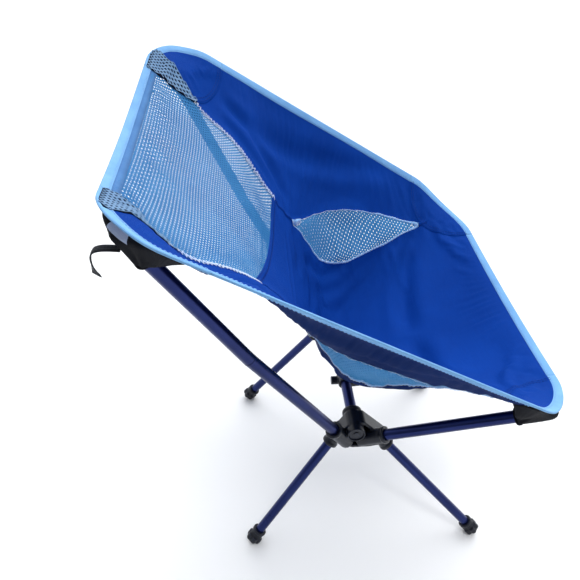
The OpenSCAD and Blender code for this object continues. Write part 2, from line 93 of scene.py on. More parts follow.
# The back mesh's hem moves this far lengthways for each metre sideways, because it hangs askew
HEM_SKEW = 0.25
FABRIC_T = 0.0006
PATCH_T = 0.0018
TAPE_W = 0.013
# Width of the binding on the front and top edges, as a share of the side binding's
END_TAPE = 0.78
# Fabric across the middle bends between these two places on either side of it
# Each end's corner point, the radius of its rounded corner, and the radius of its corner piece
CORNERS = {"front": (FRONT, FRONT_R, PATCH_FRONT), "back": (BACK, BACK_R, PATCH_BACK)}


# ---- The sling's surface ----

def unit(v):
    """Vectors along the last axis, scaled to length 1."""
    v = np.asarray(v, float)
    return v / np.maximum(np.linalg.norm(v, axis=-1, keepdims=True), 1e-9)


def lookup(table, v):
    """Value of a table of [v, mm] at v, in metres."""
    return np.interp(v, table[:, 0], table[:, 1] / 1000)


def profile_at(t):
    """[y, z] of the middle line at t, on a Catmull-Rom curve."""
    n = len(PROFILE) - 1
    ends = np.vstack([2 * PROFILE[0] - PROFILE[1], PROFILE, 2 * PROFILE[-1] - PROFILE[-2]])
    i = np.clip(np.floor(t * n).astype(int), 0, n - 1)
    f = (t * n - i)[..., None]
    p0, p1, p2, p3 = (ends[i + k] for k in range(4))
    square = 2 * p0 - 5 * p1 + 4 * p2 - p3
    cube = 3 * p1 - p0 - 3 * p2 + p3
    return 0.5 * (2 * p1 + (p2 - p0) * f + square * f**2 + cube * f**3)


def half_width(v):
    """Half width of the sling at v, without its rounded corners."""
    return FRONT[0] + (BACK[0] - FRONT[0]) * v


def corner_inset(d, r):
    """How far a corner of radius r cuts in at a distance d from the end edge."""
    return np.where(d >= r, 0, r - np.sqrt(np.maximum(0, r * r - (r - d) ** 2)))


def outline(v):
    """Half width of the sling at v, with its rounded corners."""
    return half_width(v) - corner_inset(v * LENGTH, FRONT_R) - corner_inset((1 - v) * LENGTH, BACK_R)


def ridge(x, v):
    """Extra height: nothing on the seat, its full value at the seam, nothing at the side edge."""
    side = np.abs(x)
    back = v > RIDGE_TURN
    low = np.where(back, 0, hip_low_half(v))
    top = np.where(back, seam_half(v), hip_high_half(v))
    rise = np.clip((side - low) / np.maximum(top - low, 0.012), 0, 1)
    fall = np.clip((half_width(v) - side) / (half_width(v) - top), 0, 1)
    return lookup(RIDGE, v) * np.where(side < top, rise * rise * (3 - 2 * rise), fall)


def seam_half(v):
    """Half width of the back mesh at v."""
    return lookup(MESH_SIDE, v)


def hip_low_half(v):
    return lookup(HIP_LOWER, v)


def hip_high_half(v):
    return lookup(HIP_UPPER, v)


def rear_seam_half(v):
    """Half width at the seam between the side panel and the seat, then the back mesh."""
    return np.where(v < HIP_END, hip_low_half(v), seam_half(v))


def parameter_v(end, d_end):
    """v at a distance from the front or the top edge."""
    return d_end / LENGTH if end == "front" else 1 - d_end / LENGTH


def mirrored(point, sign):
    """A point of the left corner in the frame, on the side given by sign."""
    return point * np.array([sign, 1, 1]) - np.array([0, MID_Y, 0])


def sling(x, v):
    """Point of the smooth sling surface; beyond the front and top edges it goes on straight."""
    x, v = np.broadcast_arrays(np.asarray(x, float), np.asarray(v, float))
    inside = np.clip(v, 0, 1)
    a = np.abs(x) / half_width(inside)
    c = profile_at(inside)
    e = FRONT + (BACK - FRONT) * inside[..., None]
    y = c[..., 0] + (e[..., 1] - c[..., 0]) * a * a - MID_Y
    z = c[..., 1] + (e[..., 2] - c[..., 1]) * a**SAG_POWER + ridge(x, inside)
    beyond = (v - inside) * LENGTH
    slope = np.where(v > 1, 0.65, -0.38)
    return np.stack([x, y + beyond * 0.8, z + np.abs(beyond) * slope * np.sign(beyond)], -1)


def sling_normal(x, v):
    """Upward unit normal of the smooth sling surface."""
    x, v = np.broadcast_arrays(np.asarray(x, float), np.asarray(v, float))
    h = 0.004
    dv = sling(x, np.clip(v + h, h, 1)) - sling(x, np.clip(v - h, 0, 1 - h))
    dx = sling(x + 0.001, v) - sling(x - 0.001, v)
    return unit(np.cross(dx, dv))


# ---- Wrinkles: a cloth simulation, plus the folds that the frame pulls into the sling ----

GRID_X = 105
GRID_V = 121


def blur(field, sigma):
    """Gaussian blur of a 2-D field, with its edges held."""
    half = int(3 * sigma)
    k = np.exp(-0.5 * (np.arange(-half, half + 1) / sigma) ** 2)
    k /= k.sum()
    for axis in (0, 1):
        padded = np.pad(field, [(half, half) if a == axis else (0, 0) for a in (0, 1)], mode="edge")
        field = np.apply_along_axis(lambda line: np.convolve(line, k, mode="valid"), axis, padded)
    return field


def grid_faces(n, m):
    """Faces of a grid of n rows and m columns of points."""
    i, j = np.meshgrid(np.arange(n - 1), np.arange(m - 1), indexing="ij")
    a = (i * m + j).ravel()
    return np.stack([a, a + 1, a + m + 1, a + m], 1)


def simulate_wrinkles():
    """Height of the wrinkles over the smooth surface, on a grid of GRID_V rows and GRID_X columns."""
    u, v = np.meshgrid(np.linspace(-1, 1, GRID_X), np.linspace(0, 1, GRID_V))
    rng = np.random.default_rng(7)
    start = sling(u * half_width(v), v)
    normal = sling_normal(u * half_width(v), v)
    bumps = blur(rng.normal(0, 1, u.shape), 2.2)
    start = start + normal * (bumps / np.abs(bumps).max() * 0.0012)[..., None]
    mesh = bpy.data.meshes.new("sim")
    mesh.from_pydata(start.reshape(-1, 3).tolist(), [], grid_faces(GRID_V, GRID_X).tolist())
    sheet = bpy.data.objects.new("sim", mesh)
    SCENE.collection.objects.link(sheet)
    pins = sheet.vertex_groups.new(name="pins")
    edge = np.minimum(half_width(v) * (1 - np.abs(u)), np.minimum(v, 1 - v) * LENGTH)
    end = np.where(v < 0.5, v, 1 - v) * LENGTH
    corner = np.hypot(half_width(v) * (1 - np.abs(u)), end)
    for index in np.flatnonzero(((edge < 0.012) | (corner < 0.075)).ravel()):
        pins.add([int(index)], 1.0, "REPLACE")
    cloth = sheet.modifiers.new("cloth", "CLOTH")
    s = cloth.settings
    s.quality = 7
    s.mass = 0.15
    s.tension_stiffness = 30
    s.compression_stiffness = 30
    s.shear_stiffness = 12
    s.bending_stiffness = 0.25
    s.shrink_min = -0.022
    s.vertex_group_mass = "pins"
    cloth.point_cache.frame_end = 40
    SCENE.frame_end = 40
    for number in range(1, 37):
        SCENE.frame_set(number)
    evaluated = sheet.evaluated_get(bpy.context.evaluated_depsgraph_get())
    co = np.zeros(len(mesh.vertices) * 3)
    evaluated.data.vertices.foreach_get("co", co)
    SCENE.frame_set(1)
    bpy.data.objects.remove(sheet)
    bpy.data.meshes.remove(mesh)
    lift = ((co.reshape(start.shape) - sling(u * half_width(v), v)) * normal).sum(-1)
    detail = lift - blur(lift, 7)
    return np.clip(detail, -0.006, 0.006)


wrinkles = simulate_wrinkles()


def wrinkle_at(x, v):
    """Simulated wrinkle height at (x, v)."""
    u = np.clip(x / half_width(v), -1, 1)
    gx = (u + 1) / 2 * (GRID_X - 1)
    gv = np.clip(v, 0, 1) * (GRID_V - 1)
    j = np.clip(gx.astype(int), 0, GRID_X - 2)
    i = np.clip(gv.astype(int), 0, GRID_V - 2)
    a, b = gx - j, gv - i
    w = wrinkles
    low = w[i, j] * (1 - a) + w[i, j + 1] * a
    high = w[i + 1, j] * (1 - a) + w[i + 1, j + 1] * a
    return low * (1 - b) + high * b


def line_distance(x, s, points):
    """Signed distance to a polyline in the (x, s) plane, and the place along it from 0 to 1."""
    best = np.full(x.shape, 9.0)
    side = np.zeros(x.shape)
    along = np.zeros(x.shape)
    p = np.array(points, float)
    n = len(p) - 1
    for k in range(n):
        d = p[k + 1] - p[k]
        t = np.clip(((x - p[k, 0]) * d[0] + (s - p[k, 1]) * d[1]) / (d @ d), 0, 1)
        ex, es = x - p[k, 0] - t * d[0], s - p[k, 1] - t * d[1]
        dist = np.hypot(ex, es)
        near = dist < best
        best = np.where(near, dist, best)
        side = np.where(near, np.sign(d[0] * es - d[1] * ex), side)
        along = np.where(near, (k + t) / n, along)
    return best * side, along


def fold(x, s, points, width, depth):
    """A crease along a polyline: a valley with a soft ridge on each side, fading at its ends."""
    d, t = line_distance(x, s, points)
    q = d / width
    fade = np.clip(np.sin(np.pi * np.clip(t, 0, 1)) * 2.2, 0, 1)
    return depth * fade * (-np.exp(-q * q) + 0.45 * np.exp(-((np.abs(q) - 1.9) ** 2)))


# Creases on the left half as lists of (x, s), width and depth; s is the distance from the front edge
FOLDS = [
    ([(0.205, 0.075), (0.15, 0.088), (0.08, 0.094), (0.0, 0.094)], 0.010, 0.0042),
    ([(0.19, 0.100), (0.12, 0.150), (0.06, 0.215)], 0.012, 0.0026),
    ([(0.165, 0.130), (0.11, 0.200), (0.085, 0.270)], 0.009, 0.0020),
    ([(0.150, 0.180), (0.115, 0.245), (0.10, 0.320)], 0.008, 0.0016),
    ([(0.262, 0.120), (0.245, 0.230), (0.225, 0.340), (0.215, 0.430)], 0.012, 0.0026),
    ([(0.240, 0.180), (0.222, 0.300), (0.205, 0.400), (0.222, 0.470)], 0.010, 0.0022),
    ([(0.150, 0.350), (0.185, 0.410), (0.235, 0.480)], 0.009, 0.0020),
    ([(0.145, 0.380), (0.165, 0.430), (0.200, 0.480)], 0.007, 0.0014),
    ([(0.130, 0.345), (0.09, 0.330), (0.05, 0.338)], 0.008, 0.0018),
    ([(0.120, 0.300), (0.07, 0.280), (0.02, 0.290)], 0.009, 0.0016),
    ([(0.230, 0.520), (0.150, 0.440), (0.08, 0.400)], 0.014, 0.0012),
]


def relief(x, v):
    """Height of the real fabric over the smooth surface."""
    x, v = np.broadcast_arrays(np.asarray(x, float), np.asarray(v, float))
    s = v * LENGTH
    total = wrinkle_at(x, v) * 1.3
    for k, (points, width, depth) in enumerate(FOLDS):
        sway = 1.5 + 0.35 * math.sin(2.3 * k)
        other = [(-px, ps + 0.004 * math.sin(1.7 * k + 6 * px)) for px, ps in points]
        total = total + fold(x, s, points, width, depth * sway) * (x > -0.02)
        total = total + fold(x, s, other, width, depth * (3 - sway)) * (x < 0.02)
    side = np.abs(x)
    for table, amount in ((HIP_LOWER, 0.0004), (HIP_UPPER, 0.0006)):
        d = side - lookup(table, v)
        inside = (v > HIP_V0 - 0.03) & (v < HIP_V1 + 0.08)
        ripple = np.sin(s * 2 * np.pi / 0.021 + 3 * np.sin(s * 31)) * np.exp(-np.abs(d) / 0.016)
        total = total + amount * ripple * inside
    d = side - seam_half(v)
    ripple = np.sin(s * 2 * np.pi / 0.014 + 2 * np.sin(s * 47)) * np.exp(-np.abs(d) / 0.007)
    total = total + 0.0007 * ripple * (v > MESH_V0)
    edge = np.minimum(outline(v) - side, np.minimum(v, 1 - v) * LENGTH)
    return total * np.clip((edge - 0.002) / 0.025, 0.0, 1)


def cloth_point(x, v, lift=0.0):
    """Point of the wrinkled sling, raised by lift along its normal."""
    x, v = np.broadcast_arrays(np.asarray(x, float), np.asarray(v, float))
    return sling(x, v) + sling_normal(x, v) * (relief(x, v) + lift)[..., None]


# ---- Mesh helpers ----

def make_object(name, verts, faces, material, uv=None, smooth=True):
    """New mesh object; uv is one pair per vertex."""
    mesh = bpy.data.meshes.new(name)
    mesh.from_pydata(np.asarray(verts).reshape(-1, 3).tolist(), [], [tuple(f) for f in faces])
    mesh.validate()
    if uv is not None:
        layer = mesh.uv_layers.new(name="uv")
        loops = np.zeros(len(mesh.loops), int)
        mesh.loops.foreach_get("vertex_index", loops)
        layer.data.foreach_set("uv", np.asarray(uv, float)[loops].ravel())
    if smooth:
        mesh.polygons.foreach_set("use_smooth", [True] * len(mesh.polygons))
    mesh.materials.append(material)
    obj = bpy.data.objects.new(name, mesh)
    SCENE.collection.objects.link(obj)
    return obj


def slab(name, x, v, thickness, material, lift=0.0):
    """Closed sheet on the sling over the grid of parameters x, v; blue fabric gets painted shade underneath,
    a darker blue on its lower face.
    """
    n, m = x.shape
    mid = cloth_point(x, v, lift)
    normal = sling_normal(x, v) * thickness / 2
    verts = np.concatenate([(mid + normal).reshape(-1, 3), (mid - normal).reshape(-1, 3)])
    top = grid_faces(n, m)
    low = top[:, ::-1] + n * m
    ring = np.concatenate([np.arange(m), np.arange(1, n) * m + m - 1, (n - 1) * m + np.arange(m - 2, -1, -1),
                           np.arange(n - 2, 0, -1) * m])
    nxt = np.roll(ring, -1)
    rim = np.stack([ring, ring + n * m, nxt + n * m, nxt], 1)
    uv = np.stack([x, v * LENGTH], -1).reshape(-1, 2)
    obj = make_object(name, verts, np.concatenate([top, low, rim]), material, np.concatenate([uv, uv]))
    # Painted shade: the lower faces of blue fabric take a darker blue, for the shade under the sling
    if material is BLUE:
        obj.data.materials.append(SHADED_UNDERSIDE)
        down = np.arange(len(obj.data.polygons)) // len(top) == 1
        obj.data.polygons.foreach_set("material_index", down.astype(int))
    return obj


def span(v, inner, outer, columns):
    """Grid of parameters with row i running from inner[i] to outer[i]."""
    f = np.linspace(0, 1, columns)
    x = inner[:, None] + (outer - inner)[:, None] * f
    return x, np.repeat(v[:, None], columns, 1)


def net(name, x, v, keep, thickness, hole, material, lift=0.0):
    """Knitted net on the sling: a lattice of diamond openings over the grid, where keep is true."""
    n, m = x.shape
    mid = cloth_point(x, v, lift)
    normal = sling_normal(x, v) * thickness / 2
    i, j = np.meshgrid(np.arange(n), np.arange(m), indexing="ij")
    inner = keep & (i > 0) & (i < n - 1) & (j > 0) & (j < m - 1) & ((i + j) % 2 == 1)
    ci, cj = i[inner], j[inner]
    corners = np.stack([(ci - 1) * m + cj, ci * m + cj + 1, (ci + 1) * m + cj, ci * m + cj - 1], 1)
    flat_mid = mid.reshape(-1, 3)
    flat_normal = normal.reshape(-1, 3)
    centre = flat_mid[ci * m + cj]
    hole_mid = centre[:, None] + (flat_mid[corners] - centre[:, None]) * hole
    hole_normal = flat_normal[ci * m + cj][:, None]
    total = n * m
    cells = len(ci)
    verts = np.concatenate([
        flat_mid + flat_normal,
        flat_mid - flat_normal,
        (hole_mid + hole_normal).reshape(-1, 3),
        (hole_mid - hole_normal).reshape(-1, 3),
    ])
    holes = 2 * total + np.arange(cells)[:, None] * 4 + np.arange(4)
    low_holes = holes + 4 * cells
    faces = []
    for k in range(4):
        a, b = corners[:, k], corners[:, (k + 1) % 4]
        c, d = holes[:, (k + 1) % 4], holes[:, k]
        e, f = low_holes[:, (k + 1) % 4], low_holes[:, k]
        faces += [
            np.stack([a, b, c, d], 1),
            np.stack([d, c, e, f], 1),
            np.stack([b + total, a + total, f, e], 1),
        ]
    uv_all = np.stack([x, v * LENGTH], -1).reshape(-1, 2)
    uv_centre = uv_all[ci * m + cj]
    uv_holes = (uv_centre[:, None] + (uv_all[corners] - uv_centre[:, None]) * hole).reshape(-1, 2)
    uv = np.concatenate([uv_all, uv_all, uv_holes, uv_holes])
    obj = make_object(name, verts, np.concatenate(faces), material, uv)
    bm = bmesh.new()
    bm.from_mesh(obj.data)
    bmesh.ops.delete(bm, geom=[w for w in bm.verts if not w.link_faces], context="VERTS")
    bm.to_mesh(obj.data)
    bm.free()
    return obj


def dense(points, step):
    """Resamples a parameter polyline of (x, s) evenly."""
    p = np.array(points, float)
    d = np.concatenate([[0], np.cumsum(np.linalg.norm(np.diff(p, axis=0), axis=1))])
    t = np.linspace(0, d[-1], max(2, int(round(d[-1] / step)) + 1))
    return np.stack([np.interp(t, d, p[:, 0]), np.interp(t, d, p[:, 1])], 1)


def across(path):
    """Unit vectors across a parameter path, scaled so that one unit is one metre on the surface."""
    t = np.gradient(path, axis=0)
    n = unit(np.stack([-t[:, 1], t[:, 0]], 1))
    h = 0.004
    mid = sling(path[:, 0], path[:, 1] / LENGTH)
    reach = np.zeros(len(path))
    for step in (h, -h):
        there = sling(path[:, 0] + n[:, 0] * step, (path[:, 1] + n[:, 1] * step) / LENGTH)
        reach = np.maximum(reach, np.linalg.norm(there - mid, axis=1))
    return n * (h / np.maximum(reach, 1e-4))[:, None]


def band_faces(rings, sides):
    """Faces of a closed band of rings, with a cap at each end."""
    i, j = np.meshgrid(np.arange(rings - 1), np.arange(sides), indexing="ij")
    i, j = i.ravel(), j.ravel()
    k = (j + 1) % sides
    walls = np.stack([i * sides + j, i * sides + k, (i + 1) * sides + k, (i + 1) * sides + j], 1)
    caps = [list(range(sides))[::-1], [(rings - 1) * sides + c for c in range(sides)]]
    return [list(f) for f in walls] + caps


def sweep(name, path, section, material, widths=(1, 1)):
    """Closed band along a parameter path.

    section is a ring of (across, lift) in metres; across is scaled by widths, from start to end.
    """
    n = across(path)
    sec = np.array(section, float)
    q = path[:, None, :] + n[:, None, :] * sec[None, :, :1] * np.linspace(*widths, len(path))[:, None, None]
    v = q[..., 1] / LENGTH
    pts = cloth_point(q[..., 0], v, np.broadcast_to(sec[:, 1], v.shape))
    k, m = len(path), len(sec)
    length = np.concatenate([[0], np.cumsum(np.linalg.norm(np.diff(pts[:, 0], axis=0), axis=1))])
    girth = np.concatenate([[0], np.cumsum(np.hypot(*np.diff(sec, axis=0).T))])
    uv = np.stack([np.repeat(length[:, None], m, 1), np.repeat(girth[None, :], k, 0)], -1).reshape(-1, 2)
    return make_object(name, pts.reshape(-1, 3), band_faces(k, m), material, uv)


def threads(name, starts, ends, radius, material, bow, up):
    """Many short threads in one mesh; each is a four-sided rod whose middle is raised by bow along up."""
    a, b = np.asarray(starts), np.asarray(ends)
    w = unit(np.cross(unit(b - a), up))
    rings = []
    for t, r, h in ((0, 0.6, 0), (0.25, 1, 0.8), (0.75, 1, 0.8), (1, 0.6, 0)):
        c = a + (b - a) * t + up * bow * h
        a_side, b_side = w * radius * r, up * radius * r
        rings.append(np.stack([c + a_side, c + b_side, c - a_side, c - b_side], 1))
    verts = np.stack(rings, 1).reshape(-1, 3)
    base = np.arange(len(a))[:, None] * 16
    faces = []
    for ring in range(3):
        for k in range(4):
            q = [ring * 4 + k, ring * 4 + (k + 1) % 4, ring * 4 + 4 + (k + 1) % 4, ring * 4 + 4 + k]
            faces.append(base + np.array(q))
    faces += [base + np.array([3, 2, 1, 0]), base + np.array([12, 13, 14, 15])]
    return make_object(name, verts, np.concatenate(faces), material)


def thread_points(path, side, lift):
    """Points beside a parameter path, over the cloth or under it (lift below zero), and their normals."""
    q = path + across(path) * side[:, None]
    v = np.clip(q[:, 1] / LENGTH, 0, 1)
    return cloth_point(q[:, 0], v, lift), sling_normal(q[:, 0], v) * math.copysign(1, lift)


def stitch_row(path, side, lift, pitch=0.0046, fill=0.66):
    """Starts, ends and normals of the stitches along a parameter path."""
    p = dense(path, 0.002)
    pts, up = thread_points(p, np.linspace(*np.broadcast_to(side, 2), len(p)), lift)
    d = np.concatenate([[0], np.cumsum(np.linalg.norm(np.diff(pts, axis=0), axis=1))])
    t = np.arange(pitch / 2, d[-1] - pitch, pitch)

    def at(values, where):
        return np.stack([np.interp(where, d, values[:, k]) for k in range(3)], 1)

    return at(pts, t), at(pts, t + pitch * fill), at(up, t)


def stitches(name, rows, material, radius=0.00042):
    """One object of stitches from several stitch rows."""
    a, b, up = (np.concatenate([r[k] for r in rows]) for k in range(3))
    return threads(name, a, b, radius, material, bow=0.0002, up=up)


def zigzag(name, path, reach, pitch, lift, material, radius=0.00045):
    """Overlock thread that runs to and fro across a seam, on both faces."""
    p = dense(path, pitch)
    side = np.where(np.arange(len(p)) % 2 == 0, reach, -reach)
    faces = [thread_points(p, side, height) for height in (lift, -lift)]
    a, b, up = (np.concatenate(part) for part in zip(*((pts[:-1], pts[1:], up[:-1]) for pts, up in faces)))
    return threads(name, a, b, radius, material, bow=0.0004, up=up)


# ---- Materials ----

class Nodes:
    """Small helper that builds a node tree."""

    def __init__(self, name):
        self.material = bpy.data.materials.new(name)
        self.material.use_nodes = True
        self.tree = self.material.node_tree
        self.shader = self.tree.nodes["Principled BSDF"]

    def add(self, kind, **values):
        node = self.tree.nodes.new(kind)
        for key, value in values.items():
            if key in node.inputs:
                node.inputs[key].default_value = value
            else:
                setattr(node, key.lower(), value)
        return node

    def link(self, a, b):
        self.tree.links.new(a, b)

    def coords(self, kind, scale=(1, 1, 1)):
        source = self.add("ShaderNodeTexCoord")
        mapping = self.add("ShaderNodeMapping")
        mapping.inputs["Scale"].default_value = scale
        self.link(source.outputs[kind], mapping.inputs["Vector"])
        return mapping.outputs["Vector"]

    def noise(self, vector, scale, detail=3.0, roughness=0.5):
        node = self.add("ShaderNodeTexNoise", Scale=scale, Detail=detail, Roughness=roughness)
        self.link(vector, node.inputs["Vector"])
        return node.outputs["Fac"]

    def wave(self, vector, period, direction, distortion=0.0):
        node = self.add("ShaderNodeTexWave", Scale=math.pi / 10 / period, Distortion=distortion)
        node.bands_direction = direction
        self.link(vector, node.inputs["Vector"])
        return node.outputs["Fac"]

    def math(self, operation, a, b):
        node = self.add("ShaderNodeMath")
        node.operation = operation
        for socket, value in zip(node.inputs, (a, b)):
            if isinstance(value, (int, float)):
                socket.default_value = value
            else:
                self.link(value, socket)
        return node.outputs[0]

    def ramp(self, factor, stops):
        node = self.add("ShaderNodeValToRGB")
        elements = node.color_ramp.elements
        while len(elements) < len(stops):
            elements.new(0.5)
        for element, (position, colour) in zip(elements, stops):
            element.position = position
            element.color = (*colour, 1)
        self.link(factor, node.inputs["Fac"])
        return node.outputs["Color"]

    def span(self, factor, low, high):
        node = self.add("ShaderNodeMapRange")
        self.link(factor, node.inputs["Value"])
        node.inputs["To Min"].default_value = low
        node.inputs["To Max"].default_value = high
        return node.outputs["Result"]

    def mix(self, factor, a, b, mode="MIX"):
        node = self.add("ShaderNodeMix")
        node.data_type = "RGBA"
        node.blend_type = mode
        if isinstance(factor, (int, float)):
            node.inputs[0].default_value = factor
        else:
            self.link(factor, node.inputs[0])
        for socket, value in ((node.inputs[6], a), (node.inputs[7], b)):
            if isinstance(value, tuple):
                socket.default_value = (*value, 1)
            else:
                self.link(value, socket)
        return node.outputs[2]

    def bump(self, height, distance, strength=1.0, below=None):
        node = self.add("ShaderNodeBump", Strength=strength, Distance=distance)
        self.link(height, node.inputs["Height"])
        if below is not None:
            self.link(below, node.inputs["Normal"])
        return node.outputs["Normal"]

    def finish(self, colour, roughness, normal, **values):
        self.link(colour, self.shader.inputs["Base Color"])
        if isinstance(roughness, (int, float)):
            self.shader.inputs["Roughness"].default_value = roughness
        else:
            self.link(roughness, self.shader.inputs["Roughness"])
        self.link(normal, self.shader.inputs["Normal"])
        for key, value in values.items():
            self.shader.inputs[key.replace("_", " ")].default_value = value
        return self.material


def woven(name, dark, light, thread=0.0009, bump=0.00022, roughness=(0.6, 0.78)):
    """Plain-weave fabric on the UVs, which are in metres."""
    m = Nodes(name)
    uv = m.coords("UV")
    warp = m.wave(uv, thread, "X", 0.4)
    weft = m.wave(uv, thread, "Y", 0.4)
    weave = m.math("MULTIPLY", warp, weft)
    patchy = m.noise(uv, 9, 4)
    slubs = m.noise(m.coords("UV", (40, 900, 1)), 1, 2)
    rub = m.noise(uv, 70, 5, 0.6)
    colour = m.ramp(m.math("ADD", m.math("MULTIPLY", patchy, 0.7), m.math("MULTIPLY", slubs, 0.3)),
                    [(0.25, dark), (0.75, light)])
    shade = m.ramp(weave, [(0.0, (0.72, 0.72, 0.72)), (0.6, (1, 1, 1))])
    colour = m.mix(0.55, colour, shade, "MULTIPLY")
    crumple = m.bump(rub, 0.0012, 0.35)
    normal = m.bump(weave, bump, 1.0, crumple)
    return m.finish(colour, m.span(rub, *roughness), normal, Specular_IOR_Level=0.04)


def tape(name, dark, light, rib=0.0011):
    """Ribbed woven tape, with its ribs along the tape."""
    m = Nodes(name)
    uv = m.coords("UV")
    ribs = m.wave(uv, rib, "Y", 0.3)
    picks = m.wave(uv, rib * 1.6, "X", 0.6)
    weave = m.math("ADD", m.math("MULTIPLY", ribs, 0.6), m.math("MULTIPLY", picks, 0.4))
    patchy = m.noise(uv, 30, 4)
    colour = m.ramp(patchy, [(0.3, dark), (0.7, light)])
    shade = m.ramp(weave, [(0.0, (0.78, 0.78, 0.78)), (0.7, (1, 1, 1))])
    colour = m.mix(0.6, colour, shade, "MULTIPLY")
    pucker = m.bump(m.noise(m.coords("UV", (220, 60, 1)), 1, 2), 0.0009, 0.5)
    normal = m.bump(weave, 0.0003, 1.0, pucker)
    return m.finish(colour, 0.62, normal, Sheen_Weight=0.04, Specular_IOR_Level=0.15)


def yarn(name, dark, light, roughness=0.65):
    """Thread or knitted yarn."""
    m = Nodes(name)
    where = m.coords("Object")
    fuzz = m.noise(where, 900, 3)
    patchy = m.noise(where, 25, 3)
    colour = m.ramp(m.math("ADD", m.math("MULTIPLY", fuzz, 0.4), m.math("MULTIPLY", patchy, 0.6)),
                    [(0.3, dark), (0.7, light)])
    return m.finish(colour, roughness, m.bump(fuzz, 0.0002, 0.8), Specular_IOR_Level=0.15)


def anodised(name, dark, light):
    """Drawn and anodised tube: faint lines along it, small scuffs, soft highlights."""
    m = Nodes(name)
    where = m.coords("Object")
    grain = m.noise(where, 260, 2)
    cloud = m.noise(where, 14, 3)
    scuff = m.noise(m.coords("Object", (30, 30, 30)), 3.2, 6, 0.75)
    colour = m.ramp(cloud, [(0.3, dark), (0.7, light)])
    worn = m.ramp(scuff, [(0.66, (0, 0, 0)), (0.74, (1, 1, 1))])
    colour = m.mix(m.math("MULTIPLY", worn, 0.35), colour, (0.10, 0.13, 0.30))
    roughness = m.math("ADD", m.span(cloud, 0.24, 0.34), m.math("MULTIPLY", worn, 0.15))
    normal = m.bump(grain, 0.00006, 0.6)
    return m.finish(colour, roughness, normal, Metallic=0.82, Specular_IOR_Level=0.6)


def moulded(name, dark, light, roughness=(0.28, 0.42), grain=420, depth=0.00012, coat=0.05):
    """Moulded plastic or rubber with a fine spark-eroded grain and rubbed high spots."""
    m = Nodes(name)
    where = m.coords("Object")
    fine = m.noise(where, grain, 4, 0.6)
    cloud = m.noise(where, 35, 4)
    edge = m.add("ShaderNodeNewGeometry").outputs["Pointiness"]
    rubbed = m.ramp(edge, [(0.50, (0, 0, 0)), (0.58, (1, 1, 1))])
    colour = m.ramp(cloud, [(0.3, dark), (0.7, light)])
    colour = m.mix(m.math("MULTIPLY", rubbed, 0.5), colour, tuple(min(1, c * 2.2 + 0.01) for c in light))
    normal = m.bump(fine, depth, 0.8, m.bump(cloud, 0.0006, 0.25))
    return m.finish(colour, m.span(cloud, *roughness), normal,
                    Coat_Weight=coat, Coat_Roughness=0.25, Specular_IOR_Level=0.3)


def plain_metal(name, colour, roughness):
    m = Nodes(name)
    where = m.coords("Object")
    grain = m.noise(m.coords("Object", (1, 1, 40)), 60, 3)
    shade = m.ramp(grain, [(0.2, tuple(c * 0.8 for c in colour)), (0.8, colour)])
    rough = m.span(m.noise(where, 50), roughness - 0.06, roughness + 0.08)
    return m.finish(shade, rough, m.bump(grain, 0.00005, 0.6), Metallic=1.0)


BLUE = woven("blue_fabric", (0.0015, 0.036, 0.26), (0.003, 0.056, 0.38))
# Painted shade for the fabric's lower face: a darker blue that stands in for the shade under the sling
SHADED_UNDERSIDE = woven("fabric_underside_painted_shade", (0.0015, 0.014, 0.085), (0.003, 0.022, 0.130))
BLACK_CLOTH = woven("black_fabric", (0.002, 0.003, 0.006), (0.004, 0.005, 0.011), thread=0.0013, bump=0.0004)
BACKING = woven("backing_fabric", (0.004, 0.006, 0.016), (0.008, 0.012, 0.030), thread=0.0013)
LILAC = woven("lining_fabric", (0.26, 0.32, 0.48), (0.36, 0.42, 0.58))
BINDING = tape("binding_tape", (0.17, 0.40, 0.75), (0.23, 0.50, 0.86))
WEBBING = tape("black_webbing", (0.004, 0.005, 0.009), (0.010, 0.012, 0.018), rib=0.0016)
# A darker blue strip inside the top edge's binding
DARK_STRIP = tape("dark_strip_tape", (0.05, 0.17, 0.42), (0.07, 0.22, 0.50))
NET = yarn("back_net", (0.012, 0.13, 0.35), (0.04, 0.21, 0.47))
HIP_NET = yarn("hip_net", (0.03, 0.17, 0.40), (0.06, 0.25, 0.52))
CORNER_NET = yarn("corner_net", (0.10, 0.20, 0.36), (0.20, 0.34, 0.54))
WHITE_THREAD = yarn("white_thread", (0.45, 0.55, 0.78), (0.72, 0.80, 0.95))
BLUE_THREAD = yarn("blue_thread", (0.003, 0.025, 0.18), (0.006, 0.04, 0.26))
SKY_THREAD = yarn("sky_thread", (0.22, 0.45, 0.80), (0.32, 0.56, 0.88))
TUBE = anodised("anodised_tube", (0.008, 0.015, 0.085), (0.013, 0.024, 0.125))
HUB = moulded("black_moulding", (0.004, 0.006, 0.012), (0.008, 0.011, 0.022))
TIP = moulded("tip_plastic", (0.008, 0.009, 0.012), (0.014, 0.015, 0.018), (0.45, 0.6))
RUBBER = moulded("foot_rubber", (0.005, 0.006, 0.012), (0.009, 0.011, 0.020), (0.40, 0.55), coat=0.0)
FERRULE = plain_metal("ferrule_metal", (0.55, 0.56, 0.58), 0.3)
RIVET = plain_metal("rivet_metal", (0.10, 0.11, 0.14), 0.35)
CORD = yarn("shock_cord", (0.008, 0.008, 0.009), (0.02, 0.02, 0.022))


# ---- CAD parts that stay, and moulded parts that get their fillets ----

WORDS = {"cord": CORD, "tips": TIP, "ferrule": FERRULE, "rivet": RIVET, "caps": HUB}
for name, node in frame["nodes"].items():
    kinds = [material for word, material in WORDS.items() if word in name]
    node.data.materials.clear()
    node.data.materials.append(kinds[-1] if kinds else TUBE)


